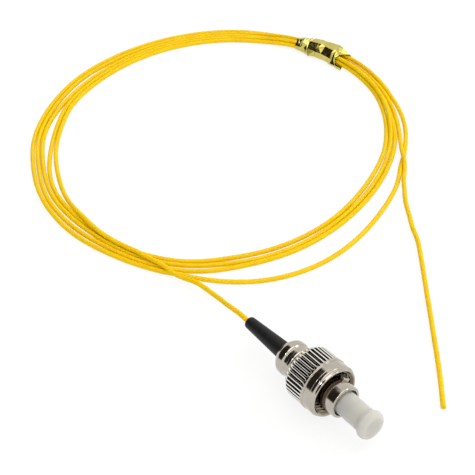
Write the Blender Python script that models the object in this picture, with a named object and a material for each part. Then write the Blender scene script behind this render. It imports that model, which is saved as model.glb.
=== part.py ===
"""Fibre optic pigtail: a round screw-type connector with its dust cap on, and a coil of 0.9 mm buffered fibre.

Metres, +Z up. The connector lies along X with its dust cap towards +X, on the floor at Z = 0.
"""
import math

import bpy
import bmesh
from mathutils import Vector

# Clearances
GAP = 0.0003  # between pieces that touch or seat in each other
CAP_CLEARANCE = 0.0003  # around the dust cap in the barrel's bore
FERRULE_TRAVEL = 0.0008  # how far the ferrule is pushed back
TIP_SPACE = 0.0014  # from the ferrule's tip to the bottom of the cap's bore

# Fibre
FIBRE_RADIUS = 0.00045

# Ferrule
FERRULE_RADIUS = 0.00125
FERRULE_TIP_RADIUS = 0.00095
FERRULE_TIP_CHAMFER = 0.0004
FERRULE_PROUD = 0.0010  # past the barrel's rim
FERRULE_FLANGE_RADIUS = 0.0018
FERRULE_FLANGE_LENGTH = 0.0014
FERRULE_TAIL_RADIUS = 0.0009
FERRULE_TAIL_LENGTH = 0.0014

# Front barrel
BARREL_RADIUS = 0.00285
BARREL_PROUD = 0.0029  # past the nut's rim
BARREL_CHAMFER = 0.00025
BARREL_WEB = 0.0008
COLLAR_RADIUS = 0.0034
COLLAR_LENGTH = 0.0010
CAVITY_RADIUS = 0.0022
KEY_LENGTH = 0.0013
KEY_WIDTH = 0.0014
KEY_HEIGHT = 0.00045
KEY_SETBACK = 0.0019  # from the barrel's rim
KEY_ANGLE = math.radians(56)  # round the axis, from +Y towards +Z
KEY_SINK = 0.0003

# Coupling nut
NUT_RADIUS = 0.00475
NUT_LENGTH = 0.0071
KNURL_LENGTH = 0.0045
BAND_RADIUS = 0.00465
NUT_WALL_AXIAL = 0.0010
NUT_BORE_RADIUS = 0.0037
NUT_CHAMFER = 0.0003
NUT_SEGMENTS = 72

# Rear body
RING_RADIUS = 0.0031
REAR_RING_LENGTH = 0.0018
GROOVE_RADIUS = 0.00275
GROOVE_LENGTH = 0.0006
FRONT_RING_LENGTH = 0.0019
NECK_RADIUS = 0.0027
BODY_CHAMFER = 0.0004
REAR_WALL = 0.0010

# Boot
BOOT_LENGTH = 0.0098  # in view behind the rear body
BOOT_SMALL_RADIUS = 0.00105
BOOT_LARGE_RADIUS = 0.0015
BOOT_ROUND = 0.0004

# Dust cap
CAP_WALL = 0.0005
CAP_INSERTION = 0.0026
CAP_TUBE_LENGTH = 0.0047  # from the barrel's rim to the head
CAP_HEAD_LENGTH = 0.0016
CAP_HEAD_RADIUS = 0.0025
CAP_HEAD_ROUND = 0.0005

# Coil of fibre, an oval ring that lies on the floor
COIL_CENTRE = (-0.0658, 0.0332)
COIL_INNER_LONG = 0.0385
COIL_INNER_SHORT = 0.0322
COIL_TURN = math.radians(-56.6)
COIL_HEIGHT = 0.0018
COIL_STATIONS = 72
COIL_SECTION_POINTS = 12
# Width of the ring of turns at these angles round its centre: the turns spread out next to the connector.
COIL_WIDTHS = (
    (-150, 0.0060),
    (-120, 0.0054),
    (-85, 0.0043),
    (-55, 0.0047),
    (-28, 0.0090),
    (0, 0.0082),
    (27, 0.0060),
    (60, 0.0046),
    (85, 0.0040),
    (108, 0.0028),
    (130, 0.0054),
    (170, 0.0065),
)

# Foil tie, a sleeve of folded strip round the whole bundle
TIE_ANGLE = math.radians(108)
TIE_LENGTH = 0.0125
TIE_WALL = 0.00035
TIE_BUNDLE_WIDTH = 0.0028
TIE_BUNDLE_HEIGHT = 0.0019
TIE_STATIONS = 9
TIE_BLEND = math.radians(16)

# Loose ends of the fibre: points along their centrelines
LEAD_POINTS = (
    (-0.0326, 0.0020, 0.00145),
    (-0.0296, 0.0017, 0.00160),
    (-0.0274, 0.0015, 0.00200),
    (-0.0247, 0.0012, 0.00265),
    (-0.0221, 0.0007, 0.00345),
    (-0.0196, 0.0003, 0.00423),
    (-0.0176, 0.0001, 0.00466),
    (-0.0155, 0.0000, 0.00475),
)
TAIL_POINTS = (
    (-0.0311, 0.0511, 0.00052),
    (-0.0274, 0.0479, 0.00048),
    (-0.0237, 0.0453, 0.00048),
    (-0.0205, 0.0430, 0.00048),
    (-0.0173, 0.0410, 0.00048),
    (-0.0122, 0.0373, 0.00048),
    (-0.0051, 0.0318, 0.00048),
    (0.0030, 0.0254, 0.00048),
    (0.0105, 0.0194, 0.00048),
    (0.0162, 0.0148, 0.00048),
)
TUBE_STEP = 0.0023

# Stations along the connector, from the dust cap's head back to the boot's small end
AXIS_Z = NUT_RADIUS
CONNECTOR_LENGTH = (
    BOOT_LENGTH
    + REAR_RING_LENGTH
    + GROOVE_LENGTH
    + FRONT_RING_LENGTH
    + NUT_LENGTH
    + BARREL_PROUD
    + CAP_TUBE_LENGTH
    + CAP_HEAD_LENGTH
)
BOOT_END = -CONNECTOR_LENGTH / 2
BODY_REAR = BOOT_END + BOOT_LENGTH
RING_END = BODY_REAR + REAR_RING_LENGTH
GROOVE_END = RING_END + GROOVE_LENGTH
NUT_REAR = GROOVE_END + FRONT_RING_LENGTH
NUT_RIM = NUT_REAR + NUT_LENGTH
BARREL_RIM = NUT_RIM + BARREL_PROUD
CAP_HEAD_START = BARREL_RIM + CAP_TUBE_LENGTH
CAP_END = CAP_HEAD_START + CAP_HEAD_LENGTH
BODY_FRONT = NUT_REAR + NUT_WALL_AXIAL
COLLAR_REAR = BODY_FRONT + GAP
COLLAR_FRONT = COLLAR_REAR + COLLAR_LENGTH
WEB_REAR = COLLAR_REAR + 0.0014
WEB_FRONT = WEB_REAR + BARREL_WEB
FLANGE_FRONT = WEB_REAR - GAP
FLANGE_REAR = FLANGE_FRONT - FERRULE_FLANGE_LENGTH
TAIL_END = FLANGE_REAR - FERRULE_TAIL_LENGTH
CAVITY_END = TAIL_END - FERRULE_TRAVEL - GAP
SOCKET_END = CAVITY_END - REAR_WALL
FERRULE_TIP = BARREL_RIM + FERRULE_PROUD
CAP_BORE_RADIUS = FERRULE_RADIUS + GAP
CAP_TUBE_RADIUS = CAP_BORE_RADIUS + CAP_WALL
BARREL_BORE_RADIUS = CAP_TUBE_RADIUS + CAP_CLEARANCE
CAP_REAR = BARREL_RIM - CAP_INSERTION
CAP_BORE_END = FERRULE_TIP + TIP_SPACE


def clear_scene():
    for obj in list(bpy.data.objects):
        bpy.data.objects.remove(obj, do_unlink=True)


def material(name, colour, roughness, metallic=0.0, transmission=0.0):
    made = bpy.data.materials.new(name)
    made.use_nodes = True
    shader = made.node_tree.nodes["Principled BSDF"]
    shader.inputs["Base Color"].default_value = (*colour, 1.0)
    shader.inputs["Roughness"].default_value = roughness
    shader.inputs["Metallic"].default_value = metallic
    shader.inputs["Transmission Weight"].default_value = transmission
    made.diffuse_color = (*colour, 1.0)
    return made


def finish(name, bm, mat, parent=None, location=(0.0, 0.0, 0.0), sharp=35):
    bmesh.ops.recalc_face_normals(bm, faces=bm.faces)
    mesh = bpy.data.meshes.new(name)
    bm.to_mesh(mesh)
    bm.free()
    mesh.materials.append(mat)
    mesh.shade_smooth()
    mesh.set_sharp_from_angle(angle=math.radians(sharp))
    obj = bpy.data.objects.new(name, mesh)
    obj.location = location
    obj.parent = parent
    bpy.context.collection.objects.link(obj)
    return obj


def empty(name, location):
    obj = bpy.data.objects.new(name, None)
    obj.empty_display_size = 0.004
    obj.location = location
    bpy.context.collection.objects.link(obj)
    return obj


def turned(name, profile, mat, parent, segments=48):
    """A closed (x, radius) outline turned round the connector's axis. Points at radius 0 are poles."""
    bm = bmesh.new()
    rings = []
    for x, radius in profile:
        if radius == 0:
            rings.append([bm.verts.new((x, 0, 0))] * segments)
            continue
        ring = []
        for i in range(segments):
            angle = 2 * math.pi * i / segments - math.pi / 2
            ring.append(bm.verts.new((x, radius * math.cos(angle), radius * math.sin(angle))))
        rings.append(ring)
    pairs = list(zip(rings, rings[1:]))
    if profile[0][1] != 0:
        pairs.append((rings[-1], rings[0]))
    for first, second in pairs:
        for i in range(segments):
            j = (i + 1) % segments
            corners = []
            for vert in (first[i], first[j], second[j], second[i]):
                if vert not in corners:
                    corners.append(vert)
            if len(corners) > 2:
                bm.faces.new(corners)
    return finish(name, bm, mat, parent)


def rounded(x, radius, depth, outward, steps=4):
    """Points of a quarter round, from the end face at x to the side at this radius."""
    points = []
    for i in range(steps + 1):
        angle = math.pi / 2 * (1 - i / steps)
        points.append((
            x - outward * depth * (1 - math.sin(angle)),
            radius - depth * (1 - math.cos(angle)),
        ))
    return points


def swept(name, stations, mat, closed, inner=None):
    """A body through rings of points. With inner rings it is a sleeve, with end faces between the two."""
    bm = bmesh.new()
    outer_rings = [[bm.verts.new(point) for point in ring] for ring in stations]
    count = len(stations[0])
    inner_rings = [[bm.verts.new(point) for point in ring] for ring in inner] if inner else []

    def skin(rings, wrap):
        following = rings[1:] + ([rings[0]] if wrap else [])
        for first, second in zip(rings, following):
            for i in range(count):
                j = (i + 1) % count
                bm.faces.new((first[i], first[j], second[j], second[i]))

    skin(outer_rings, closed)
    if inner_rings:
        skin(inner_rings, closed)
        for k in (0, -1):
            skin([outer_rings[k], inner_rings[k]], False)
    return finish(name, bm, mat, sharp=50)


def coil_inner(angle):
    turn = angle - COIL_TURN
    across = COIL_INNER_SHORT * math.cos(turn)
    along = COIL_INNER_LONG * math.sin(turn)
    return COIL_INNER_LONG * COIL_INNER_SHORT / math.hypot(across, along)


def coil_width(angle):
    degrees = math.degrees(angle)
    knots = [(a - 360, w) for a, w in COIL_WIDTHS] + list(COIL_WIDTHS) + [(a + 360, w) for a, w in COIL_WIDTHS]
    for (a, first), (b, second) in zip(knots, knots[1:]):
        if a <= degrees < b:
            t = (degrees - a) / (b - a)
            t = t * t * (3 - 2 * t)
            return first + (second - first) * t
    return COIL_WIDTHS[0][1]


def tied(angle):
    """1 at the tie, falling to 0 away from it."""
    off = abs((angle - TIE_ANGLE + math.pi) % (2 * math.pi) - math.pi)
    held = TIE_LENGTH / 2 / (coil_inner(TIE_ANGLE) + TIE_BUNDLE_WIDTH / 2)
    t = min(max((off - held) / TIE_BLEND, 0.0), 1.0)
    return 1 - t * t * (3 - 2 * t)


def coil_section(angle):
    """(mean radius, half width, half height, height of the centre) of the bundle at this angle."""
    t = tied(angle)
    mean = coil_inner(angle) + coil_width(angle) / 2
    half_width = (coil_width(angle) * (1 - t) + TIE_BUNDLE_WIDTH * t) / 2
    half_height = (COIL_HEIGHT * (1 - t) + TIE_BUNDLE_HEIGHT * t) / 2
    lift = (TIE_WALL + GAP) * t
    return mean, half_width, half_height, half_height + lift


def coil_ring(angle, grow=0.0):
    """Points of the bundle's outline here, a rectangle with round corners, this much larger all round."""
    count = COIL_SECTION_POINTS
    mean, half_width, half_height, centre = coil_section(angle)
    most = math.sqrt(math.cos(math.pi / count))
    points = []
    for i in range(count):
        turn = 2 * math.pi * (i + 0.5) / count
        across = math.copysign(math.sqrt(abs(math.cos(turn))) / most, math.cos(turn)) * (half_width + grow)
        up = math.copysign(math.sqrt(abs(math.sin(turn))) / most, math.sin(turn)) * (half_height + grow)
        radius = mean + across
        points.append((
            COIL_CENTRE[0] + radius * math.cos(angle),
            COIL_CENTRE[1] + radius * math.sin(angle),
            centre + up,
        ))
    return points


def smooth_route(points, step):
    """Points at this step along a smooth curve through the given ones."""
    ends = [2 * Vector(points[0]) - Vector(points[1])] + [Vector(p) for p in points]
    ends.append(2 * ends[-1] - ends[-2])
    fine = []
    for i in range(1, len(ends) - 2):
        a, b, c, d = ends[i - 1: i + 3]
        for k in range(12):
            t = k / 12
            fine.append(
                0.5
                * (2 * b + (c - a) * t + (2 * a - 5 * b + 4 * c - d) * t * t + (3 * b - a - 3 * c + d) * t ** 3)
            )
    fine.append(ends[-2])
    lengths = [0.0]
    for a, b in zip(fine, fine[1:]):
        lengths.append(lengths[-1] + (b - a).length)
    count = max(2, round(lengths[-1] / step))
    route = []
    k = 0
    for i in range(count + 1):
        want = lengths[-1] * i / count
        while k < len(fine) - 2 and lengths[k + 1] < want:
            k += 1
        t = (want - lengths[k]) / (lengths[k + 1] - lengths[k])
        route.append(fine[k].lerp(fine[k + 1], min(max(t, 0.0), 1.0)))
    return route


def tube(name, points, radius, mat):
    curve = bpy.data.curves.new(name, "CURVE")
    curve.dimensions = "3D"
    curve.bevel_depth = radius
    curve.bevel_resolution = 2
    curve.use_fill_caps = True
    route = smooth_route(points, TUBE_STEP)
    spline = curve.splines.new("POLY")
    spline.points.add(len(route) - 1)
    for point, place in zip(spline.points, route):
        point.co = (*place, 1.0)
    curve.materials.append(mat)
    obj = bpy.data.objects.new(name, curve)
    bpy.context.collection.objects.link(obj)
    return obj


clear_scene()

yellow = material("yellow_buffer", (0.90, 0.58, 0.02), 0.45)
black = material("black_boot", (0.02, 0.02, 0.022), 0.5)
nickel = material("nickel", (0.66, 0.63, 0.57), 0.25, metallic=1.0)
zirconia = material("zirconia", (0.93, 0.92, 0.88), 0.2)
clear_plastic = material("cap_plastic", (0.86, 0.86, 0.84), 0.35, transmission=0.5)
foil = material("gold_foil", (0.80, 0.62, 0.25), 0.25, metallic=1.0)

axis = empty("connector_axis", (0, 0, AXIS_Z))

turned(
    "boot",
    [(BOOT_END, 0.0)]
    + rounded(BOOT_END, BOOT_SMALL_RADIUS, BOOT_ROUND, -1)
    + [
        (BODY_REAR - GAP, BOOT_LARGE_RADIUS),
        (SOCKET_END - GAP, BOOT_LARGE_RADIUS),
        (SOCKET_END - GAP, 0.0),
    ],
    black,
    axis,
    segments=32,
)

turned(
    "rear_body",
    [
        (BODY_REAR, BOOT_LARGE_RADIUS + GAP),
        (BODY_REAR, RING_RADIUS - BODY_CHAMFER),
        (BODY_REAR + BODY_CHAMFER, RING_RADIUS),
        (RING_END, RING_RADIUS),
        (RING_END, GROOVE_RADIUS),
        (GROOVE_END, GROOVE_RADIUS),
        (GROOVE_END, RING_RADIUS),
        (NUT_REAR - GAP, RING_RADIUS),
        (NUT_REAR - GAP, NECK_RADIUS),
        (BODY_FRONT, NECK_RADIUS),
        (BODY_FRONT, CAVITY_RADIUS),
        (CAVITY_END, CAVITY_RADIUS),
        (CAVITY_END, 0.0),
        (SOCKET_END, 0.0),
        (SOCKET_END, BOOT_LARGE_RADIUS + GAP),
    ],
    nickel,
    axis,
)

barrel = turned(
    "front_barrel",
    [
        (COLLAR_REAR, CAVITY_RADIUS),
        (COLLAR_REAR, COLLAR_RADIUS),
        (COLLAR_FRONT, COLLAR_RADIUS),
        (COLLAR_FRONT, BARREL_RADIUS),
        (BARREL_RIM - BARREL_CHAMFER, BARREL_RADIUS),
        (BARREL_RIM, BARREL_RADIUS - BARREL_CHAMFER),
        (BARREL_RIM, BARREL_BORE_RADIUS),
        (WEB_FRONT, BARREL_BORE_RADIUS),
        (WEB_FRONT, FERRULE_RADIUS + GAP),
        (WEB_REAR, FERRULE_RADIUS + GAP),
        (WEB_REAR, CAVITY_RADIUS),
    ],
    nickel,
    axis,
)

key_radius = BARREL_RADIUS + (KEY_HEIGHT - KEY_SINK) / 2
key_bm = bmesh.new()
bmesh.ops.create_cube(key_bm, size=1.0)
bmesh.ops.scale(key_bm, vec=(KEY_LENGTH, KEY_WIDTH, KEY_HEIGHT + KEY_SINK), verts=key_bm.verts)
key = finish("key_shape", key_bm, nickel, axis)
key.location = (
    BARREL_RIM - KEY_SETBACK - KEY_LENGTH / 2,
    key_radius * math.cos(KEY_ANGLE),
    key_radius * math.sin(KEY_ANGLE),
)
key.rotation_euler = (KEY_ANGLE - math.pi / 2, 0, 0)
key.hide_render = True
key.display_type = "WIRE"
join = barrel.modifiers.new("key", "BOOLEAN")
join.operation = "UNION"
join.solver = "EXACT"
join.object = key

turned(
    "coupling_nut",
    [
        (NUT_REAR, NECK_RADIUS + GAP),
        (NUT_REAR, NUT_RADIUS - NUT_CHAMFER),
        (NUT_REAR + NUT_CHAMFER, NUT_RADIUS),
        (NUT_REAR + KNURL_LENGTH, NUT_RADIUS),
        (NUT_REAR + KNURL_LENGTH, BAND_RADIUS),
        (NUT_RIM - NUT_CHAMFER, BAND_RADIUS),
        (NUT_RIM, BAND_RADIUS - NUT_CHAMFER),
        (NUT_RIM, NUT_BORE_RADIUS),
        (BODY_FRONT, NUT_BORE_RADIUS),
        (BODY_FRONT, NECK_RADIUS + GAP),
    ],
    nickel,
    axis,
    segments=NUT_SEGMENTS,
)

turned(
    "ferrule",
    [
        (TAIL_END, 0.0),
        (TAIL_END, FERRULE_TAIL_RADIUS),
        (FLANGE_REAR, FERRULE_TAIL_RADIUS),
        (FLANGE_REAR, FERRULE_FLANGE_RADIUS),
        (FLANGE_FRONT, FERRULE_FLANGE_RADIUS),
        (FLANGE_FRONT, FERRULE_RADIUS),
        (FERRULE_TIP - FERRULE_TIP_CHAMFER, FERRULE_RADIUS),
        (FERRULE_TIP, FERRULE_TIP_RADIUS),
        (FERRULE_TIP, 0.0),
    ],
    zirconia,
    axis,
    segments=32,
)

turned(
    "dust_cap",
    [
        (CAP_REAR, CAP_BORE_RADIUS),
        (CAP_REAR, CAP_TUBE_RADIUS),
        (CAP_HEAD_START, CAP_TUBE_RADIUS),
        (CAP_HEAD_START + (CAP_HEAD_RADIUS - CAP_TUBE_RADIUS), CAP_HEAD_RADIUS),
    ]
    + rounded(CAP_END, CAP_HEAD_RADIUS, CAP_HEAD_ROUND, 1)[::-1]
    + [
        (CAP_END, 0.0),
        (CAP_BORE_END, 0.0),
        (CAP_BORE_END, CAP_BORE_RADIUS),
    ],
    clear_plastic,
    axis,
    segments=40,
)

swept(
    "cable_coil",
    [coil_ring(2 * math.pi * k / COIL_STATIONS - math.pi) for k in range(COIL_STATIONS)],
    yellow,
    True,
)

tie_mean = coil_section(TIE_ANGLE)[0]
tie_angles = [TIE_ANGLE + TIE_LENGTH / tie_mean * (k / (TIE_STATIONS - 1) - 0.5) for k in range(TIE_STATIONS)]
swept(
    "twist_tie",
    [coil_ring(angle, GAP + TIE_WALL) for angle in tie_angles],
    foil,
    False,
    [coil_ring(angle, GAP) for angle in tie_angles],
)

tube("cable_lead", LEAD_POINTS, FIBRE_RADIUS, yellow)
tube("cable_tail", TAIL_POINTS, FIBRE_RADIUS, yellow)
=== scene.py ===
"""Looks of a fibre optic pigtail: a connector with its dust cap, and a foil-tied coil of yellow fibre.

Everything is in metres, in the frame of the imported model: the connector lies along X with its cap towards +X.
"""

import math
import random

import bpy
import bmesh
import numpy as np
from mathutils import Matrix, Vector


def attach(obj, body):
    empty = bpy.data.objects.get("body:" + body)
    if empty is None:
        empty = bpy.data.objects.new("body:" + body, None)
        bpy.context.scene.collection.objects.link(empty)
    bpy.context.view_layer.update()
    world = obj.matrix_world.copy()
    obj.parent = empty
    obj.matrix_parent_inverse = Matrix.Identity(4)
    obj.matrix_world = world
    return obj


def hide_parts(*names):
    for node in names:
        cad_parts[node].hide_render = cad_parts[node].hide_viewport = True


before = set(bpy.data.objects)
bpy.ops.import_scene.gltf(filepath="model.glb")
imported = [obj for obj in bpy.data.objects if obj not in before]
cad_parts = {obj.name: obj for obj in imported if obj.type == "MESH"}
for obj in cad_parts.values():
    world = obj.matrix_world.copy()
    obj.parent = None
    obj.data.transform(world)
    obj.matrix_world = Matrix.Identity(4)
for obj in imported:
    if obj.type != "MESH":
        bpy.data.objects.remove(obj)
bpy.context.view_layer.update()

MM = 0.001

# Camera
AIM = Vector((-38.77, 16.14, 0.0)) * MM
CAMERA_DISTANCE = 257.0 * MM
CAMERA_ELEVATION = math.radians(38.5)
CAMERA_HEADING = math.radians(-38.3)  # where the camera stands, seen from the aim point
FOCAL_PIXELS = 1394
PICTURE_WIDTH = 475  # pixels
SENSOR_WIDTH = 36  # mm
FOCAL_LENGTH = FOCAL_PIXELS / PICTURE_WIDTH * SENSOR_WIDTH


def add_camera():
    data = bpy.data.cameras.new("camera")
    data.sensor_width = SENSOR_WIDTH
    data.lens = FOCAL_LENGTH
    data.clip_start = 0.01
    data.clip_end = 10
    camera = bpy.data.objects.new("camera", data)
    bpy.context.scene.collection.objects.link(camera)
    back = Vector((
        math.cos(CAMERA_HEADING) * math.cos(CAMERA_ELEVATION),
        math.sin(CAMERA_HEADING) * math.cos(CAMERA_ELEVATION),
        math.sin(CAMERA_ELEVATION),
    ))
    camera.location = AIM + back * CAMERA_DISTANCE
    camera.rotation_mode = "QUATERNION"
    camera.rotation_quaternion = back.to_track_quat("Z", "Y")
    bpy.context.scene.camera = camera


# Fibre, in mm and degrees
FIBRE_DIAMETER = 0.9
FIBRE_RADIUS = FIBRE_DIAMETER / 2
ROUTE_STEP = 0.9
COIL_CENTRE = (-65.8, 33.2)
COIL_INNER_LONG = 38.5
COIL_INNER_SHORT = 32.2
COIL_TURN = math.radians(-56.6)
COIL_START = -45.0  # angle round the centre where the lead comes in; the turns run clockwise from there
COIL_END = 4 * 360 + 282  # how far round the turns go
PASSES = 5
STATION = 3.0  # between points on a turn
TIE_AT = 207.0  # round from the start
TIE_HALF = 9.2  # from the tie's middle to its end
TIE_RELEASE = 14.0  # over which the bundle opens out from the tie
TIE_LIFT = 0.45  # how far the foil holds the bundle off the floor

# How far each of the five passes lies outside the coil's inner oval, at angles clockwise from the start.
LANES = (
    (0, (7.1, 1.70, 2.80, 4.40, 5.70)),
    (5, (4.6, 1.55, 2.60, 4.00, 5.00)),
    (10, (2.6, 1.35, 2.30, 3.50, 4.50)),
    (16, (1.5, 1.00, 2.00, 3.00, 4.00)),
    (25, (0.9, 0.45, 1.40, 2.35, 3.65)),
    (33, (0.4, 0.25, 1.20, 2.70, 3.95)),
    (40, (-0.1, 0.45, 1.45, 2.75, 3.90)),
    (49, (-0.20, 1.00, 2.00, 3.10, 4.05)),
    (56, (-0.40, 1.30, 2.25, 3.25, 4.20)),
    (64, (-0.40, 1.20, 2.15, 3.10, 4.15)),
    (76, (0.0, 0.95, 2.70, 3.60, 4.60)),
    (83, (0.15, 1.05, 3.15, 4.05, 5.00)),
    (92, (0.45, 1.35, 3.25, 4.15, 5.05)),
    (104, (1.20, 2.10, 3.05, 4.30, 5.20)),
    (121, (1.10, 2.00, 2.92, 4.65, 5.55)),
    (134, (1.10, 2.05, 3.00, 4.30, 5.30)),
    (152, (1.00, 1.95, 2.90, 3.90, 4.90)),
    (166, (0.80, 1.75, 2.70, 3.65, 4.60)),
    (180, (0.50, 1.45, 2.40, 3.30, 4.25)),
    (188, (0.35, 1.20, 2.05, 2.90, 3.75)),
    (193, (0.40, 0.95, 1.60, 2.20, 2.90)),
    (198, (0.45, 0.92, 1.39, 1.86, 2.33)),
    (203, (0.45, 0.92, 1.39, 1.86, 2.33)),
    (214, (0.50, 0.97, 1.44, 2.38, 1.91)),
    (224, (1.20, 1.80, 2.40, 3.70, 3.10)),
    (236, (1.45, 2.05, 2.65, 4.10, 3.25)),
    (246, (1.10, 2.00, 2.50, 4.50, 2.95)),
    (257, (0.87, 2.00, 2.45, 4.78, 2.95)),
    (265, (0.70, 1.85, 2.35, 4.66, 3.40)),
    (271, (0.60, 1.70, 2.25, 4.50, 3.95)),
    (276, (0.42, 1.55, 2.20, 4.65, 4.50)),
    (282, (0.20, 1.40, 2.15, 5.00, 5.52)),
    (290, (0.05, 1.25, 2.15, 5.60)),
    (301, (0.05, 1.20, 2.15, 6.15)),
    (313, (0.35, 1.35, 2.40, 7.30)),
    (330, (0.7, 2.30, 2.95, 8.90)),
    (343, (0.9, 2.60, 3.30, 8.70)),
    (353, (0.9, 2.30, 3.90, 7.20)),
)

# How the turns settle. Some stretches start above the others, and all fall and push each other apart.
LANE_SMOOTHINGS = 5
LEAD_IN = 50.0
LEAD_IN_HEIGHT = 1.5
UPPER_PASSES = (1, 3)  # these lie on top in and near the tie
UPPER_GRIP = 0.3  # how much of the tie's grip lifts them
UPPER_RISE = 0.8
TAIL_OUT = 26.0
TAIL_RISE = 1.1
STRANDS_APART = FIBRE_DIAMETER + 0.02
SETTLE_STEPS = 330
SPREAD_STEPS = 90
FALL = 0.012
PULL = 0.08
STIFFNESS = 0.45

# The loose ends, in mm: from the boot to the coil, and from the coil to the bare end.
LEAD = (
    (-15.20, 0.0, 4.75),
    (-16.40, 0.0, 4.75),
    (-17.60, 0.1, 4.66),
    (-19.60, 0.3, 4.26),
    (-22.10, 0.7, 3.45),
    (-24.70, 1.2, 2.65),
    (-27.40, 1.5, 2.00),
    (-29.60, 1.65, 1.62),
    (-31.70, 1.5, 1.45),
)
TAIL = (
    (-31.90, 51.65, 1.05),
    (-29.70, 49.80, 0.65),
    (-27.40, 47.85, 0.45),
    (-23.70, 45.30, 0.45),
    (-20.40, 43.05, 0.45),
    (-17.20, 41.20, 0.45),
    (-12.20, 37.40, 0.45),
    (-5.10, 31.80, 0.45),
    (3.00, 25.40, 0.45),
    (10.50, 19.40, 0.45),
    (16.20, 14.55, 0.45),
)


def coil_inner(angle):
    """How far the coil's inner oval lies from its centre, in mm."""
    turn = angle - COIL_TURN
    return COIL_INNER_LONG * COIL_INNER_SHORT / np.hypot(
        COIL_INNER_SHORT * np.cos(turn), COIL_INNER_LONG * np.sin(turn)
    )


def smooth_values(knots, values, at):
    """A smooth line through the values at the knots, by cubic pieces with mean slopes."""
    knots = np.asarray(knots, float)
    values = np.asarray(values, float)
    slopes = np.gradient(values, knots)
    i = np.clip(np.searchsorted(knots, at, side="right") - 1, 0, len(knots) - 2)
    span = knots[i + 1] - knots[i]
    t = (at - knots[i]) / span
    h0 = 2 * t**3 - 3 * t**2 + 1
    h1 = t**3 - 2 * t**2 + t
    h2 = 3 * t**2 - 2 * t**3
    h3 = t**3 - t**2
    return h0 * values[i] + h1 * span * slopes[i] + h2 * values[i + 1] + h3 * span * slopes[i + 1]


def tie_grip(swept):
    """1 inside the tie, falling to 0 where the bundle has opened out."""
    off = np.abs((swept % 360) - TIE_AT)
    t = np.clip((off - TIE_HALF) / TIE_RELEASE, 0, 1)
    return 1 - t * t * (3 - 2 * t)


def bend_of(values):
    """How far each value lies from the middle of its neighbours."""
    bend = np.zeros_like(values)
    bend[1:-1] = (values[:-2] + values[2:]) / 2 - values[1:-1]
    return bend


def push_apart(offset, height, per_turn):
    """Moves strands that lie too close away from each other, each by half of what they lack."""
    for gap in range(1, PASSES):
        a = slice(0, len(offset) - gap * per_turn)
        b = slice(gap * per_turn, None)
        across = offset[b] - offset[a]
        up = height[b] - height[a]
        far = np.hypot(across, up) + 1e-9
        push = np.clip(STRANDS_APART - far, 0, None) / far / 2
        offset[a] -= across * push
        offset[b] += across * push
        height[a] -= up * push
        height[b] += up * push


def coil_points():
    """The turns as (x, y, z) in mm. Each pass rests on the floor or on its neighbours, a diameter away."""
    knots, offsets = [], []
    for turn in range(PASSES):
        for angle, row in LANES:
            if turn < len(row):
                knots.append(360 * turn + angle)
                offsets.append(row[turn])
    swept = np.arange(0, COIL_END + 0.1, STATION)
    want = smooth_values(knots, offsets, swept)
    for _ in range(LANE_SMOOTHINGS):
        want += 0.5 * bend_of(want)
    per_turn = int(360 / STATION)
    turn_number = np.arange(len(swept)) // per_turn
    grip = tie_grip(swept)
    floor = FIBRE_RADIUS + TIE_LIFT * grip
    offset = want.copy()
    height = floor.copy()
    height[swept < LEAD_IN] = LEAD_IN_HEIGHT
    height[(grip > UPPER_GRIP) & np.isin(turn_number, UPPER_PASSES)] += UPPER_RISE
    height[swept > COIL_END - TAIL_OUT] += TAIL_RISE
    for step in range(SETTLE_STEPS + SPREAD_STEPS):
        if step < SETTLE_STEPS:
            height -= FALL
            offset += PULL * (want - offset)
            height += STIFFNESS * bend_of(height)
            offset += STIFFNESS * bend_of(offset - want)
        push_apart(offset, height, per_turn)
        height = np.maximum(height, floor)
    angle = np.radians(COIL_START - swept)
    radius = coil_inner(angle) + offset
    return np.stack([
        COIL_CENTRE[0] + radius * np.cos(angle),
        COIL_CENTRE[1] + radius * np.sin(angle),
        height,
    ], axis=1)


def smooth_route(points, step):
    """Points about this far apart along a smooth curve through the given ones."""
    points = np.asarray(points, float)
    spans = np.linalg.norm(np.diff(points, axis=0), axis=1)
    along = np.concatenate([[0], np.cumsum(spans ** 0.5)])
    samples = 60 * len(points)
    fine = np.linspace(0, along[-1], samples)
    curve = np.stack([smooth_values(along, points[:, k], fine) for k in range(3)], axis=1)
    length = np.concatenate([[0], np.cumsum(np.linalg.norm(np.diff(curve, axis=0), axis=1))])
    at = np.linspace(0, length[-1], max(2, int(round(length[-1] / step))) + 1)
    return np.stack([np.interp(at, length, curve[:, k]) for k in range(3)], axis=1)


def fibre_path():
    """The whole fibre from the boot to its bare end, in metres."""
    coil = coil_points()
    whole = np.concatenate([np.array(LEAD), coil[1:], np.array(TAIL)])
    return smooth_route(whole, ROUTE_STEP) * MM


def add_fibre(path, material):
    curve = bpy.data.curves.new("fibre", "CURVE")
    curve.dimensions = "3D"
    curve.bevel_depth = FIBRE_RADIUS * MM
    curve.bevel_resolution = 4
    curve.use_fill_caps = True
    spline = curve.splines.new("POLY")
    spline.points.add(len(path) - 1)
    for point, place in zip(spline.points, path):
        point.co = (*place, 1.0)
    spline.use_smooth = True
    curve.materials.append(material)
    obj = bpy.data.objects.new("fibre", curve)
    bpy.context.scene.collection.objects.link(obj)
    return obj


# Foil tie, in mm
TIE_CENTRE_OUT = 1.39  # outside the coil's inner oval
TIE_CENTRE_HEIGHT = 1.38
TIE_THICKNESS = 0.09
TIE_SEED = 11
ROW_CRUMPLE = 0.04
CREASE_CRUMPLE = 0.12
CREASED_ROWS = (0, 1, 2, 3, 8, 9)  # between each of these rows and the next there is one more crease

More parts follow.
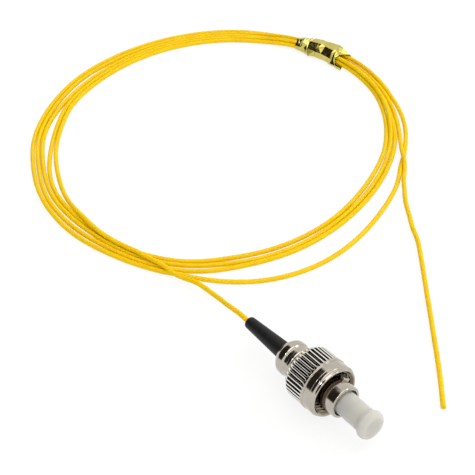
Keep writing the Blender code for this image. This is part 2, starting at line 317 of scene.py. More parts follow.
# The crumpled strip, row by row along the bundle. Each point is (along, outwards, up) from the bundle's
# middle, and each row starts at the outer bottom edge and goes over the top.
TIE_ROWS = (
    (
        (-6.2, 1.3, -1.1), (-6.4, 1.4, 0.2), (-6.3, 0.9, 0.7), (-6.1, 0.3, 0.95), (-6.0, -0.2, 0.95),
        (-6.0, -0.9, 0.50), (-6.0, -1.6, 0.0), (-6.2, -1.6, -0.7), (-6.1, -1.1, -1.2),
    ),
    (
        (-5.0, 1.5, -1.2), (-5.2, 1.6, 0.4), (-5.3, 1.1, 0.9), (-5.1, 0.4, 1.15), (-5.0, -0.3, 1.20),
        (-5.0, -1.1, 0.60), (-5.1, -1.8, 0.1), (-5.3, -1.9, -0.6), (-4.9, -1.4, -1.2),
    ),
    (
        (-4.1, 1.6, -1.2), (-4.2, 1.7, 0.6), (-4.3, 1.1, 1.1), (-4.2, 0.5, 1.25), (-4.2, -0.3, 1.60),
        (-4.2, -1.2, 1.20), (-4.3, -1.9, 0.4), (-4.2, -1.9, -0.8), (-3.9, -1.5, -1.25),
    ),
    (
        (-3.2, 1.7, -1.2), (-3.0, 1.8, 0.7), (-3.2, 1.3, 1.20), (-3.2, 0.3, 1.45), (-3.3, -0.5, 1.30),
        (-3.2, -1.2, 0.85), (-3.1, -1.8, 0.1), (-3.0, -2.2, -0.6), (-2.8, -1.6, -1.3),
    ),
    (
        (-2.5, 1.7, -1.2), (-2.4, 1.8, 0.8), (-2.4, 1.4, 1.35), (-2.5, 0.4, 1.5), (-2.6, -0.3, 1.50),
        (-2.6, -1.1, 0.95), (-2.6, -1.9, 0.35), (-2.2, -2.5, -1.0), (-2.0, -1.7, -1.3),
    ),
    (
        (-0.6, 1.8, -1.2), (-0.4, 2.0, 1.1), (-0.5, 1.5, 1.6), (-0.6, 0.5, 1.6), (-0.7, -0.3, 1.55),
        (-0.8, -1.1, 0.95), (-0.9, -1.9, 0.35), (-1.0, -2.0, -1.0), (-0.9, -1.5, -1.3),
    ),
    (
        (0.5, 1.9, -1.2), (0.6, 2.0, 1.1), (0.5, 1.4, 1.7), (0.4, 0.5, 1.7), (0.3, -0.4, 1.85),
        (0.0, -1.3, 1.40), (-0.4, -2.1, 0.4), (-0.4, -2.1, -0.9), (-0.2, -1.6, -1.3),
    ),
    (
        (1.3, 2.0, -1.2), (1.4, 2.2, 1.1), (1.4, 1.6, 1.7), (1.3, 0.5, 1.65), (1.2, -0.3, 1.55),
        (1.1, -1.1, 0.95), (1.0, -1.9, 0.35), (1.1, -1.9, -0.9), (1.3, -1.5, -1.3),
    ),
    (
        (3.3, 2.0, -1.2), (3.4, 2.3, 1.2), (3.3, 1.8, 1.85), (3.2, 0.6, 1.6), (3.1, -0.3, 1.5),
        (3.0, -1.1, 0.9), (2.9, -1.9, 0.3), (2.7, -1.9, -0.8), (2.8, -1.5, -1.3),
    ),
    (
        (4.3, 1.9, -1.2), (4.5, 2.3, 1.1), (4.3, 1.7, 2.0), (4.2, 0.8, 1.95), (4.0, -0.2, 1.85),
        (3.8, -1.3, 1.35), (3.8, -2.0, 0.3), (4.1, -2.2, -0.6), (4.4, -1.8, -1.3),
    ),
    (
        (5.3, 1.8, -1.1), (5.9, 2.1, 0.9), (5.6, 1.6, 1.6), (5.2, 0.6, 1.4), (4.9, -0.4, 1.45),
        (4.7, -1.3, 1.0), (4.9, -1.8, 0.2), (5.8, -2.2, -0.5), (6.2, -2.0, -1.2),
    ),
    (
        (5.8, 1.6, -1.0), (7.3, 1.9, 0.8), (6.9, 1.5, 1.2), (6.1, 0.8, 1.15), (5.4, -0.3, 1.2),
        (5.1, -1.2, 0.9), (5.2, -1.7, 0.1), (7.2, -1.9, -0.6), (7.3, -1.7, -1.2),
    ),
)


def tie_folds():
    """The rows with the creases between them, each with how far its points may stray."""
    folds = []
    for k, row in enumerate(TIE_ROWS):
        folds.append((row, ROW_CRUMPLE))
        if k in CREASED_ROWS:
            pairs = zip(row, TIE_ROWS[k + 1])
            crease = [[(a + b) / 2 for a, b in zip(here, there)] for here, there in pairs]
            folds.append((crease, CREASE_CRUMPLE))
    return folds


def add_tie():
    """A strip of foil folded round the bundle: flat crumpled facets with sharp creases, open at both ends."""
    middle = math.radians(COIL_START - TIE_AT)
    centre_radius = float(coil_inner(middle)) + TIE_CENTRE_OUT
    chance = random.Random(TIE_SEED)
    bm = bmesh.new()
    rows = []
    for row, crumple in tie_folds():
        ring = []
        for along, out, up in row:
            angle = middle - along / centre_radius
            radius = float(coil_inner(angle)) + TIE_CENTRE_OUT + out + chance.uniform(-crumple, crumple)
            height = TIE_CENTRE_HEIGHT + up + chance.uniform(-crumple, crumple)
            ring.append(bm.verts.new((
                (COIL_CENTRE[0] + radius * math.cos(angle)) * MM,
                (COIL_CENTRE[1] + radius * math.sin(angle)) * MM,
                max(height, 0.0) * MM,
            )))
        rows.append(ring)
    for k, (first, second) in enumerate(zip(rows, rows[1:])):
        for i in range(len(first)):
            j = (i + 1) % len(first)
            a, b, c, d = first[i], second[i], second[j], first[j]
            if (i + k) % 2:
                bm.faces.new((a, b, c))
                bm.faces.new((a, c, d))
            else:
                bm.faces.new((a, b, d))
                bm.faces.new((b, c, d))
    tie = made_mesh("foil_sleeve", bm, smooth=False)
    wall = tie.modifiers.new("wall", "SOLIDIFY")
    wall.thickness = TIE_THICKNESS * MM
    wall.offset = -1.0
    return tie


# Connector, in mm: stations along the axis
BOOT_END = -15.2
BODY_REAR = -5.4
REAR_RING_END = BODY_REAR + 2.15
REAR_GROOVE_END = BODY_REAR + 2.85
BODY_FRONT = -2.6
NUT_REAR = -1.1
KNURL_END = 3.4
NUT_RIM = 6.0
LIP = 6.22
MOUTH = 0.34  # how deep the nut's mouth narrows
BORE_START = LIP - MOUTH - 0.05
BORE_END = NUT_REAR + 1.0
BARREL_REAR = 0.25
COLLAR_END = 1.15
WEB_REAR = 1.6
WEB_FRONT = 2.4
BARREL_RIM = 8.9
CAP_REAR = BARREL_RIM - 2.2
CAP_BEND = 8.4  # from here on the cap sags, since it fits loosely
CAP_BORE_END = 10.9
CAP_FLARE = 13.2
CAP_WIDEST = 14.35
CAP_END = 15.38

# Heights and radii
AXIS = 4.75
CREST = 4.75
BAND = 4.65
NUT_FACE = 4.25  # the nut's outer side lies further out than this, and its mouth and bore further in
NUT_SHADE = 4.16  # painted shade darkens the inside of the nut from here inwards
SHADE_FADE = 0.08
NUT_HOLE = 3.0
BORE = 3.7
RING = 3.1
RING_GROOVE = 2.9
FRONT_RING = RING - 0.02
BODY_BORE = 1.75
BODY_SOCKET = 2.25
COLLAR = 3.38
BARREL = 2.85
BARREL_BORE = 2.36
WEB_HOLE = 1.6
BOOT = 1.58
CAP_TUBE = 2.05
CAP_BORE = 1.58
CAP_RADIUS = 2.52
CAP_FACE = 1.75

# Details
CAP_SAG = math.radians(2.4)
KEY_SIZE = (1.3, 1.4, 0.75)
KEY_ROUND = 0.10
KEY_RISE = 0.075  # of its middle over the barrel
KEY_SETBACK = 1.9  # behind the barrel's rim
KEY_ANGLE = math.radians(56)
RIBS = 38
RIB_SHARE = 0.42  # half a rib's width, as a share of the space from rib to rib
GROOVE_DEPTH = 0.36
GROOVE_FADE = 0.45
THREAD_PITCH = 0.75
THREAD_DEPTH = 0.30
THREAD_START = 0.1  # over which the thread grows at the mouth
THREAD_RUNOUT = 0.5


def clamped(value):
    return min(max(value, 0.0), 1.0)


def softened(outline, steps=4):
    """The closed outline (x, radius, round) with each corner rounded off by its own radius."""
    out = []
    count = len(outline)
    for i, (x, y, bend) in enumerate(outline):
        here = Vector((x, y))
        if bend <= 0:
            out.append((x, y))
            continue
        before = Vector(outline[i - 1][:2]) - here
        after = Vector(outline[(i + 1) % count][:2]) - here
        half = before.angle(after) / 2
        back = min(bend / math.tan(half), before.length * 0.48, after.length * 0.48)
        start = here + before.normalized() * back
        end = here + after.normalized() * back
        for k in range(steps + 1):
            t = k / steps
            p = start * (1 - t) ** 2 + here * 2 * t * (1 - t) + end * t * t
            out.append((p.x, p.y))
    return out


def lathe(name, outline, segments, closed=True):
    """A mesh turned round the connector's axis from an outline of (x, radius) in mm.

    An open outline starts and ends on the axis.
    """
    bm = bmesh.new()
    rings = []
    for x, radius in outline:
        if radius < 1e-6:
            rings.append([bm.verts.new((x * MM, 0, AXIS * MM))] * segments)
            continue
        ring = []
        for i in range(segments):
            angle = 2 * math.pi * i / segments
            ring.append(bm.verts.new((
                x * MM, radius * math.cos(angle) * MM, (AXIS + radius * math.sin(angle)) * MM,
            )))
        rings.append(ring)
    pairs = list(zip(rings, rings[1:]))
    if closed:
        pairs.append((rings[-1], rings[0]))
    for first, second in pairs:
        for i in range(segments):
            j = (i + 1) % segments
            corners = []
            for vert in (first[i], first[j], second[j], second[i]):
                if vert not in corners:
                    corners.append(vert)
            if len(corners) > 2:
                bm.faces.new(corners)
    return made_mesh(name, bm)


def made_mesh(name, bm, smooth=True):
    bmesh.ops.remove_doubles(bm, verts=bm.verts, dist=1e-7)
    bmesh.ops.recalc_face_normals(bm, faces=bm.faces)
    mesh = bpy.data.meshes.new(name)
    bm.to_mesh(mesh)
    bm.free()
    if smooth:
        mesh.shade_smooth()
        mesh.set_sharp_from_angle(angle=math.radians(40))
    obj = bpy.data.objects.new(name, mesh)
    bpy.context.scene.collection.objects.link(obj)
    return obj


def dress(obj, material, body, slot, *replaced):
    """Gives a finished piece its material and its body, and hides the nodes it stands for; slot is not used."""
    obj.data.materials.clear()
    obj.data.materials.append(material)
    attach(obj, body)
    if replaced:
        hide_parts(*replaced)
    return obj


# Building with nodes
class Tree:
    """A geometry node tree with named inputs, put on an object, set and turned into a plain mesh."""

    def __init__(self, name, inputs):
        self.group = bpy.data.node_groups.new(name, "GeometryNodeTree")
        self.group.interface.new_socket("Geometry", in_out="INPUT", socket_type="NodeSocketGeometry")
        self.group.interface.new_socket("Geometry", in_out="OUTPUT", socket_type="NodeSocketGeometry")
        self.sockets = {}
        for label, (kind, value) in inputs.items():
            socket = self.group.interface.new_socket(label, in_out="INPUT", socket_type="NodeSocket" + kind)
            if kind != "Material":
                socket.default_value = value
            self.sockets[label] = (socket.identifier, value)
        self.start = self.group.nodes.new("NodeGroupInput")
        self.end = self.group.nodes.new("NodeGroupOutput")

    def node(self, kind, **settings):
        made = self.group.nodes.new(kind)
        for key, value in settings.items():
            setattr(made, key, value)
        return made

    def link(self, out, into):
        self.group.links.new(out, into)

    def given(self, label):
        return self.start.outputs[label]

    def math(self, operation, *values):
        made = self.node("ShaderNodeMath", operation=operation)
        for socket, value in zip(made.inputs, values):
            if isinstance(value, (int, float)):
                socket.default_value = value
            else:
                self.link(value, socket)
        return made.outputs[0]

    def plus(self, a, b):
        return self.math("ADD", a, b)

    def minus(self, a, b):
        return self.math("SUBTRACT", a, b)

    def times(self, a, b):
        return self.math("MULTIPLY", a, b)

    def stored(self, geometry, name, value):
        """The geometry with the value kept on its points under this name."""
        made = self.node("GeometryNodeStoreNamedAttribute", data_type="FLOAT", domain="POINT")
        made.inputs["Name"].default_value = name
        self.link(geometry, made.inputs["Geometry"])
        self.link(value, made.inputs["Value"])
        return made.outputs["Geometry"]

    def attribute(self, name):
        made = self.node("GeometryNodeInputNamedAttribute", data_type="FLOAT")
        made.inputs["Name"].default_value = name
        return made.outputs["Attribute"]

    def finish(self, geometry, material):
        real = self.node("GeometryNodeRealizeInstances")
        paint = self.node("GeometryNodeSetMaterial")
        self.link(geometry, real.inputs[0])
        self.link(real.outputs[0], paint.inputs[0])
        self.link(material, paint.inputs["Material"])
        self.link(paint.outputs[0], self.end.inputs[0])

    def apply(self, obj):
        modifier = obj.modifiers.new(self.group.name, "NODES")
        modifier.node_group = self.group
        for identifier, value in self.sockets.values():
            modifier[identifier] = value
        graph = bpy.context.evaluated_depsgraph_get()
        mesh = bpy.data.meshes.new_from_object(obj.evaluated_get(graph))
        old = obj.data
        obj.modifiers.remove(modifier)
        obj.data = mesh
        mesh.name = obj.name
        bpy.data.meshes.remove(old)
        return obj


def cut_ribs_and_thread(nut, material):
    """Cuts straight grooves round the nut, which leave round-topped ribs, and a thread in its bore.

    The mesh's "groove" and "thread" attributes say how deep each applies, and "shade" how much painted shade
    the inside gets. The result's "crest" mark paints a highlight on the rib tops, and its other mark paints
    shade in the grooves and inside the nut.
    """
    tree = Tree("ribs_and_thread", {
        "Ribs": ("Int", RIBS),
        "Rib Share": ("Float", RIB_SHARE),
        "Groove Depth": ("Float", GROOVE_DEPTH * MM),
        "Pitch": ("Float", THREAD_PITCH * MM),
        "Thread Depth": ("Float", THREAD_DEPTH * MM),
        "Axis Height": ("Float", AXIS * MM),
        "Material": ("Material", material),
    })
    place = tree.node("GeometryNodeInputPosition")
    split = tree.node("ShaderNodeSeparateXYZ")
    tree.link(place.outputs[0], split.inputs[0])
    x, y, z = split.outputs
    up = tree.minus(z, tree.given("Axis Height"))
    radius = tree.math("SQRT", tree.plus(tree.times(y, y), tree.times(up, up)))
    turns = tree.math("DIVIDE", tree.math("ARCTAN2", up, y), 2 * math.pi)

    # Ribs with round crowns, and a groove from each to the next
    across = tree.minus(tree.math("FRACT", tree.times(turns, tree.given("Ribs"))), 0.5)
    share = tree.math("DIVIDE", across, tree.given("Rib Share"))
    bulge = tree.math("MAXIMUM", tree.minus(1.0, tree.times(share, share)), 0.0)
    crown = tree.math("POWER", bulge, 0.5)
    valley = tree.times(tree.minus(1.0, crown), tree.attribute("groove"))
    groove = tree.times(valley, tree.given("Groove Depth"))

    # A thread that winds along the bore, 0 on its crest and 1 at its flat root
    phase = tree.math("FRACT", tree.minus(tree.math("DIVIDE", x, tree.given("Pitch")), turns))
    flank = tree.math("ABSOLUTE", tree.minus(tree.times(phase, 2.0), 1.0))
    cut = tree.math("MINIMUM", tree.times(flank, 1.2), 1.0)
    thread = tree.times(tree.times(cut, tree.attribute("thread")), tree.given("Thread Depth"))

    # Each point moves straight in or out to its new radius
    wanted = tree.plus(tree.minus(radius, groove), thread)
    ratio = tree.math("DIVIDE", wanted, radius)
    join = tree.node("ShaderNodeCombineXYZ")
    tree.link(x, join.inputs[0])
    tree.link(tree.times(y, ratio), join.inputs[1])
    tree.link(tree.plus(tree.times(up, ratio), tree.given("Axis Height")), join.inputs[2])

    # Painted shade: dark in the grooves and inside the nut, and darkest at the thread's root
    root = tree.math("MINIMUM", tree.times(flank, 1.6), 1.0)
    gloom = tree.plus(tree.times(root, 0.6), 0.4)
    dark = tree.math("MAXIMUM", valley, tree.times(tree.attribute("shade"), gloom))
    shell = tree.stored(tree.given("Geometry"), "painted_shade", dark)
    # Painted highlight: the rib tops are marked to be coloured brighter
    shell = tree.stored(shell, "crest", tree.times(crown, tree.attribute("groove")))
    move = tree.node("GeometryNodeSetPosition")
    tree.link(shell, move.inputs["Geometry"])
    tree.link(join.outputs[0], move.inputs["Position"])
    tree.finish(move.outputs[0], tree.given("Material"))
    return tree.apply(nut)


# Materials
class Finish:
    """A Principled material with procedural detail on the object's own coordinates, in metres."""

    def __init__(self, name, colour, roughness, metallic=0.0, **more):
        self.material = bpy.data.materials.new(name)
        self.material.use_nodes = True
        self.nodes = self.material.node_tree.nodes
        self.links = self.material.node_tree.links
        self.shader = self.nodes["Principled BSDF"]
        self.colour = colour
        self.shader.inputs["Base Color"].default_value = (*colour, 1.0)
        self.shader.inputs["Roughness"].default_value = roughness
        self.shader.inputs["Metallic"].default_value = metallic
        for key, value in more.items():
            self.shader.inputs[key.replace("_", " ")].default_value = value
        self.place = self.nodes.new("ShaderNodeTexCoord")

    def spots(self, size, stretch=(1, 1, 1), detail=3.0):
        """A noise of 0 to 1 whose spots are about this many mm across, longer where stretch is under 1."""
        scaled = self.nodes.new("ShaderNodeMapping")
        scaled.inputs["Scale"].default_value = [1 / (size * MM) * s for s in stretch]
        texture = self.nodes.new("ShaderNodeTexNoise")
        texture.inputs["Scale"].default_value = 1.0
        texture.inputs["Detail"].default_value = detail
        self.links.new(self.place.outputs["Object"], scaled.inputs["Vector"])
        self.links.new(scaled.outputs["Vector"], texture.inputs["Vector"])
        return texture.outputs["Fac"]

    def ranged(self, value, low, high):
        """Spreads the middle of a noise over low to high."""
        made = self.nodes.new("ShaderNodeMapRange")
        made.inputs["From Min"].default_value = 0.3
        made.inputs["From Max"].default_value = 0.7
        made.inputs["To Min"].default_value = low
        made.inputs["To Max"].default_value = high
        self.links.new(value, made.inputs["Value"])
        return made.outputs["Result"]

    def mixed(self, first, other):
        """Lays the other colour over the base colour, and gives the socket that says how much."""
        mix = self.nodes.new("ShaderNodeMix")
        mix.data_type = "RGBA"
        if first is None:
            mix.inputs["A"].default_value = (*self.colour, 1.0)
        else:
            self.links.new(first, mix.inputs["A"])
        mix.inputs["B"].default_value = (*other, 1.0)
        self.links.new(mix.outputs["Result"], self.shader.inputs["Base Color"])
        return mix.inputs["Factor"]

    def tint(self, value, other):
        """Turns to the other colour in the light spots of a noise."""
        self.links.new(self.ranged(value, 0.0, 1.0), self.mixed(None, other))

    def marked(self, attribute, other):
        """Turns to the other colour where the mesh's attribute is 1."""
        mark = self.nodes.new("ShaderNodeAttribute")
        mark.attribute_name = attribute
        before = self.shader.inputs["Base Color"].links[0].from_socket
        self.links.new(mark.outputs["Fac"], self.mixed(before, other))

    def gloss(self, value, low, high):
        self.links.new(self.ranged(value, low, high), self.shader.inputs["Roughness"])

    def relief(self, value, height):
        bump = self.nodes.new("ShaderNodeBump")
        bump.inputs["Strength"].default_value = 1.0
        bump.inputs["Distance"].default_value = height * MM
        self.links.new(value, bump.inputs["Height"])
        self.links.new(bump.outputs["Normal"], self.shader.inputs["Normal"])


def buffer_finish():
    made = Finish(
        "buffer_yellow", (0.765, 0.50, 0.001), 0.5, Specular_IOR_Level=0.12, Subsurface_Weight=0.6,
        Subsurface_Scale=0.0005, Subsurface_Radius=(1.0, 0.6, 0.1),
    )
    made.tint(made.spots(2.5), (0.80, 0.55, 0.002))
    made.gloss(made.spots(1.2), 0.45, 0.58)
    made.relief(made.spots(0.35), 0.004)
    return made.material


def rubber_finish():
    made = Finish("boot_black", (0.006, 0.006, 0.006), 0.45, Specular_IOR_Level=0.22)
    made.tint(made.spots(1.0), (0.010, 0.010, 0.010))
    made.gloss(made.spots(0.8), 0.40, 0.52)
    made.relief(made.spots(0.18), 0.006)
    return made.material


def nickel_finish(name, marked=False):
    """Bright nickel plate; where the mesh is marked, with painted highlights on crests and painted shade."""
    made = Finish(name, (0.50, 0.465, 0.415), 0.12, 1.0)
    made.tint(made.spots(1.5), (0.45, 0.415, 0.36))
    made.gloss(made.spots(0.9), 0.08, 0.15)
    made.relief(made.spots(0.05, (1, 0.02, 0.02), 1.0), 0.0006)
    if marked:
        # Painted highlight on the marked crests, and painted shade on the parts marked dark
        made.marked("crest", (0.92, 0.91, 0.88))
        made.marked("painted_shade", (0.15, 0.12, 0.085))
    return made.material


def ceramic_finish():
    made = Finish("zirconia", (0.90, 0.89, 0.85), 0.18)
    made.tint(made.spots(1.0), (0.86, 0.84, 0.78))
    made.gloss(made.spots(0.6), 0.14, 0.26)
    return made.material


def cap_finish():
    made = Finish(
        "cap_plastic", (0.505, 0.497, 0.470), 0.45, IOR=1.42, Subsurface_Weight=1.0, Subsurface_Scale=0.003,
        Subsurface_Radius=(1.0, 1.0, 1.0), Specular_IOR_Level=0.15,
    )
    made.tint(made.spots(2.0), (0.495, 0.480, 0.445))
    made.gloss(made.spots(0.8), 0.36, 0.46)
    made.relief(made.spots(0.3), 0.004)
    return made.material


def foil_finish():
    made = Finish("gold_foil", (0.64, 0.56, 0.16), 0.12, 1.0)
    made.tint(made.spots(1.2), (0.55, 0.46, 0.11))
    made.gloss(made.spots(0.6), 0.08, 0.20)
    made.relief(made.spots(0.8, detail=0.5), 0.018)
    return made.material


# Connector
def add_nut(material):
    """The coupling nut: grooves at the back, a plain band with a fine ring cut in it, and a threaded bore."""
    outline = [
        (NUT_REAR, NUT_HOLE, 0),
        (NUT_REAR, 4.00, 0.15),
        (NUT_REAR + 1.00, CREST, 0.90),
        (KNURL_END + 0.30, CREST, 0.10),
        (KNURL_END + 0.42, BAND - 0.10, 0.06),
        (KNURL_END + 0.55, BAND, 0.10),
        (NUT_RIM - 0.95, BAND, 0.05),
        (NUT_RIM - 0.91, BAND - 0.02, 0.03),
        (NUT_RIM - 0.87, BAND, 0.03),
        (NUT_RIM - 0.33, BAND, 0.16),
        (NUT_RIM - 0.22, BAND - 0.22, 0.04),
        (NUT_RIM - 0.14, BAND - 0.24, 0.04),
        (LIP, BAND - 0.26, 0.14),
        (LIP, 4.14, 0.06),
        (LIP - MOUTH, 3.82, 0.1),
        (BORE_START, BORE, 0),
    ]
    longest = 0.28
    rings_per_pitch = 10
    points = softened(outline)
    fine = []
    for (x0, r0), (x1, r1) in zip(points, points[1:]):
        steps = max(1, math.ceil(math.hypot(x1 - x0, r1 - r0) / longest))
        for k in range(steps):
            t = k / steps
            fine.append((x0 + (x1 - x0) * t, r0 + (r1 - r0) * t))
    steps = int((BORE_START - BORE_END) / (THREAD_PITCH / rings_per_pitch))
    for k in range(steps + 1):
        fine.append((BORE_START - (BORE_START - BORE_END) * k / steps, BORE))
    fine.append((BORE_END, NUT_HOLE))
    nut = lathe("nut_shell", fine, segments=RIBS * 12)
    groove = nut.data.attributes.new("groove", "FLOAT", "POINT")
    thread = nut.data.attributes.new("thread", "FLOAT", "POINT")
    shade = nut.data.attributes.new("shade", "FLOAT", "POINT")
    for vert in nut.data.vertices:
        x = vert.co.x / MM
        radius = math.hypot(vert.co.y / MM, vert.co.z / MM - AXIS)
        if radius > NUT_FACE and x < KNURL_END:
            groove.data[vert.index].value = math.sqrt(clamped((KNURL_END - x) / GROOVE_FADE))
        # Painted shade inside the nut, growing inwards from NUT_SHADE
        if radius < NUT_FACE and x > 0:
            shade.data[vert.index].value = clamped((NUT_SHADE - radius) / SHADE_FADE)
        if abs(radius - BORE) < 0.001 and x > BORE_END:
            start = (BORE_START - x) / THREAD_START
            runout = (x - BORE_END) / THREAD_RUNOUT
            thread.data[vert.index].value = clamped(min(start, runout))
    nut.data.materials.append(material)
    cut_ribs_and_thread(nut, material)
    nut.data.shade_smooth()
    nut.data.set_sharp_from_angle(angle=math.radians(60))
    return nut


def add_rear_body():
    """The body behind the nut: a ring with a round rear edge, a groove, and a second ring."""
    outline = [
        (BODY_REAR, BODY_BORE, 0),
        (BODY_REAR, RING - 0.62, 0.20),
        (BODY_REAR + 0.80, RING, 0.90),
        (REAR_RING_END - 0.25, RING, 0.45),
        (REAR_RING_END, RING_GROOVE, 0.12),
        (REAR_GROOVE_END - 0.05, RING_GROOVE - 0.02, 0.05),
        (REAR_GROOVE_END + 0.10, FRONT_RING, 0.20),
        (NUT_REAR - 0.80, FRONT_RING, 0.40),
        (NUT_REAR - 0.50, 2.80, 0.10),
        (NUT_REAR + 0.9, 2.72, 0),
        (NUT_REAR + 0.9, BODY_SOCKET, 0),
        (BODY_FRONT, BODY_SOCKET, 0),
        (BODY_FRONT, BODY_BORE, 0),
    ]
    return lathe("rear_shell", softened(outline, steps=6), segments=128)


def add_barrel():
    """The front barrel, with a collar and a web round the ferrule, and painted shade as far as the nut hides
    it.
    """
    dark_end = NUT_RIM + 0.7
    outline = [
        (BARREL_REAR, BODY_SOCKET, 0),
        (BARREL_REAR, COLLAR, 0.05),
        (COLLAR_END, COLLAR, 0.05),
        (COLLAR_END + 0.05, BARREL, 0.05),
        (NUT_RIM - 0.5, BARREL, 0),
        (NUT_RIM + 0.2, BARREL, 0),
        (dark_end, BARREL, 0),
        (BARREL_RIM - 0.20, BARREL, 0.15),
        (BARREL_RIM - 0.02, BARREL - 0.14, 0.04),
        (BARREL_RIM, BARREL - 0.18, 0.02),
        (BARREL_RIM, BARREL_BORE + 0.04, 0.03),
        (BARREL_RIM - 0.06, BARREL_BORE, 0),
        (WEB_FRONT, BARREL_BORE, 0),
        (WEB_FRONT, WEB_HOLE, 0),
        (WEB_REAR, WEB_HOLE, 0),
        (WEB_REAR, BODY_SOCKET, 0),
    ]
    barrel = lathe("barrel_shell", softened(outline, steps=5), segments=128)
    # Painted shade on the barrel where the nut hides it, fading out just past the nut's rim
    painted_shade = barrel.data.attributes.new("painted_shade", "FLOAT", "POINT")
    for vert in barrel.data.vertices:
        painted_shade.data[vert.index].value = clamped((dark_end - vert.co.x / MM) / 0.5)
    return barrel


def add_key():
    """The small key on the barrel, inside the nut's mouth."""
    bm = bmesh.new()
    bmesh.ops.create_cube(bm, size=1.0)
    bmesh.ops.scale(bm, vec=Vector(KEY_SIZE) * MM, verts=bm.verts)
    bmesh.ops.bevel(bm, geom=bm.edges, offset=KEY_ROUND * MM, segments=3, affect="EDGES", profile=0.5)
    upright = Matrix.Rotation(KEY_ANGLE - math.pi / 2, 3, "X")
    bmesh.ops.rotate(bm, verts=bm.verts, cent=(0, 0, 0), matrix=upright)
    middle = BARREL + KEY_RISE
    place = Vector((
        BARREL_RIM - KEY_SETBACK - KEY_SIZE[0] / 2,
        middle * math.cos(KEY_ANGLE),
        AXIS + middle * math.sin(KEY_ANGLE),
    ))
    bmesh.ops.translate(bm, verts=bm.verts, vec=place * MM)
    return made_mesh("barrel_key", bm)


def add_boot():
    """The tapered boot, with a small mouth where the fibre goes in."""
    outline = [
        (BOOT_END + 0.5, 0.0, 0),
        (BOOT_END + 0.5, 0.48, 0),
        (BOOT_END + 0.05, 0.52, 0),
        (BOOT_END, 0.60, 0),
        (BOOT_END, 0.95, 0.12),
        (BOOT_END + 0.28, 1.07, 0.4),
        (BODY_REAR - 0.02, BOOT, 0),
        (BODY_REAR + 1.0, BOOT, 0),
        (BODY_REAR + 1.0, 0.0, 0),
    ]
    return lathe("boot_sleeve", softened(outline, steps=5), segments=72, closed=False)


def add_cap():
    """The dust cap: a tube over the ferrule, which flares to a domed head and sags past the barrel."""
    outer = [(CAP_REAR, CAP_BORE), (CAP_REAR, CAP_TUBE - 0.04), (CAP_REAR + 0.04, CAP_TUBE)]
    outer += [(CAP_REAR + 0.04 + 0.3 * k, CAP_TUBE) for k in range(1, 21)]
    for k in range(1, 13):
        t = k / 12
        ease = t * t * (3 - 2 * t)
        outer.append((CAP_FLARE + (CAP_WIDEST - CAP_FLARE) * t, CAP_TUBE + (CAP_RADIUS - CAP_TUBE) * ease))
    for k in range(1, 17):
        turn = math.pi / 2 * k / 16
        x = CAP_WIDEST + (CAP_END - CAP_WIDEST) * math.sin(turn)
        outer.append((x, CAP_FACE + (CAP_RADIUS - CAP_FACE) * math.cos(turn)))
    outer += [(CAP_END, 1.2), (CAP_END, 0.6), (CAP_END, 0.0)]
    inner = [(CAP_BORE_END, 0.0), (CAP_BORE_END, 1.4), (CAP_BORE_END - 0.1, CAP_BORE)]
    cap = lathe("cap_sleeve", outer + inner, segments=96)
    for vert in cap.data.vertices:
        vert.co.z -= max(vert.co.x - CAP_BEND * MM, 0.0) * math.tan(CAP_SAG)
    return cap


yellow = buffer_finish()
rubber = rubber_finish()
nickel = nickel_finish("nickel")
shaded_nickel = nickel_finish("shaded_nickel", True)
ceramic = ceramic_finish()
cap_plastic = cap_finish()
foil = foil_finish()

dress(add_nut(shaded_nickel), shaded_nickel, "nut", "nickel", "coupling_nut")
dress(add_rear_body(), nickel, "connector", "nickel", "rear_body")
dress(add_barrel(), shaded_nickel, "connector", "nickel", "front_barrel")
dress(add_key(), nickel, "connector", "nickel")
dress(add_boot(), rubber, "connector", "boot", "boot")
dress(add_cap(), cap_plastic, "cap", "cap", "dust_cap")

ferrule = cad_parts["ferrule"]
ferrule.data.materials.clear()
ferrule.data.materials.append(ceramic)
tie = dress(add_tie(), foil, "connector", "foil", "twist_tie")

path = fibre_path()
fibre = add_fibre(path, yellow)
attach(fibre, "connector")
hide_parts("cable_lead", "cable_coil", "cable_tail")

# Floor and light
FLOOR_DROP = 0.00001  # below the part, so that the two don't share a plane
SUBJECT = Vector((-0.035, 0.02, 0.0))  # what the lights point at
ROOM = (1.0, 0.985, 0.95)
DARK = (0.03, 0.025, 0.018)
DARK_SIDE = Vector((-0.614, -0.507, 0.604))  # the unlit side of the room
CEILING = (2.35, 2.33, 2.25)
CEILING_SIDE = Vector((0, 0, 1))


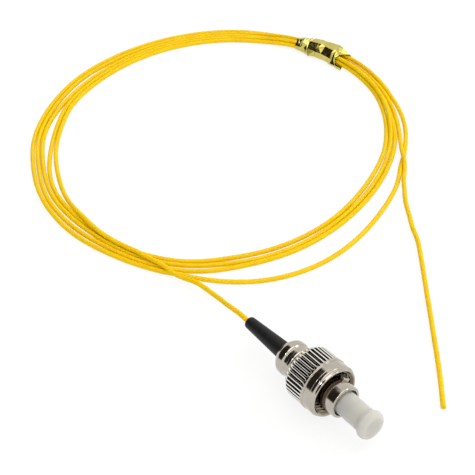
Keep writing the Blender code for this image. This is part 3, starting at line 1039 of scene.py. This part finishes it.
def add_floor():
    bm = bmesh.new()
    bmesh.ops.create_grid(bm, x_segments=1, y_segments=1, size=3.0)
    floor = made_mesh("floor", bm)
    paper = Finish("floor_white", (0.16, 0.16, 0.16), 0.9, Emission_Strength=0.815)
    paper.shader.inputs["Emission Color"].default_value = (1, 1, 1, 1)
    floor.data.materials.append(paper.material)
    floor.location.z = -FLOOR_DROP


def add_area(name, place, size, power, colour):
    data = bpy.data.lights.new(name, "AREA")
    data.shape = "RECTANGLE"
    data.size, data.size_y = size
    data.energy = power
    data.color = colour
    light = bpy.data.objects.new(name, data)
    light.location = place
    light.rotation_mode = "QUATERNION"
    light.rotation_quaternion = (Vector(place) - SUBJECT).to_track_quat("Z", "Y")
    bpy.context.scene.collection.objects.link(light)


def add_world():
    """A light room with a bright ceiling and one unlit side, each fading into the room between two angles."""
    world = bpy.data.worlds.new("studio")
    world.use_nodes = True
    nodes, links = world.node_tree.nodes, world.node_tree.links
    place = nodes.new("ShaderNodeTexCoord")
    colour = nodes.new("ShaderNodeRGB").outputs["Color"]
    colour.default_value = (*ROOM, 1)
    for other, towards, inner, outer in (
        (DARK, DARK_SIDE.normalized(), 36, 46),
        (CEILING, CEILING_SIDE, 22, 30),
    ):
        dot = nodes.new("ShaderNodeVectorMath")
        dot.operation = "DOT_PRODUCT"
        dot.inputs[1].default_value = towards
        links.new(place.outputs["Generated"], dot.inputs[0])
        ramp = nodes.new("ShaderNodeMapRange")
        ramp.interpolation_type = "SMOOTHSTEP"
        ramp.inputs["From Min"].default_value = math.cos(math.radians(outer))
        ramp.inputs["From Max"].default_value = math.cos(math.radians(inner))
        links.new(dot.outputs["Value"], ramp.inputs["Value"])
        mix = nodes.new("ShaderNodeMix")
        mix.data_type = "RGBA"
        mix.inputs["B"].default_value = (*other, 1)
        links.new(colour, mix.inputs["A"])
        links.new(ramp.outputs["Result"], mix.inputs["Factor"])
        colour = mix.outputs["Result"]
    links.new(colour, nodes["Background"].inputs["Color"])
    bpy.context.scene.world = world


add_camera()
add_floor()
add_world()
add_area("softbox_right", (0.20, 0.36, 0.42), (0.16, 0.16), 0.5, (1, 0.98, 0.95))
add_area("lamp_left", (0.0, -0.42, 0.52), (0.05, 0.12), 0.5, (1, 1, 1))
bpy.context.scene.view_settings.view_transform = "Standard"
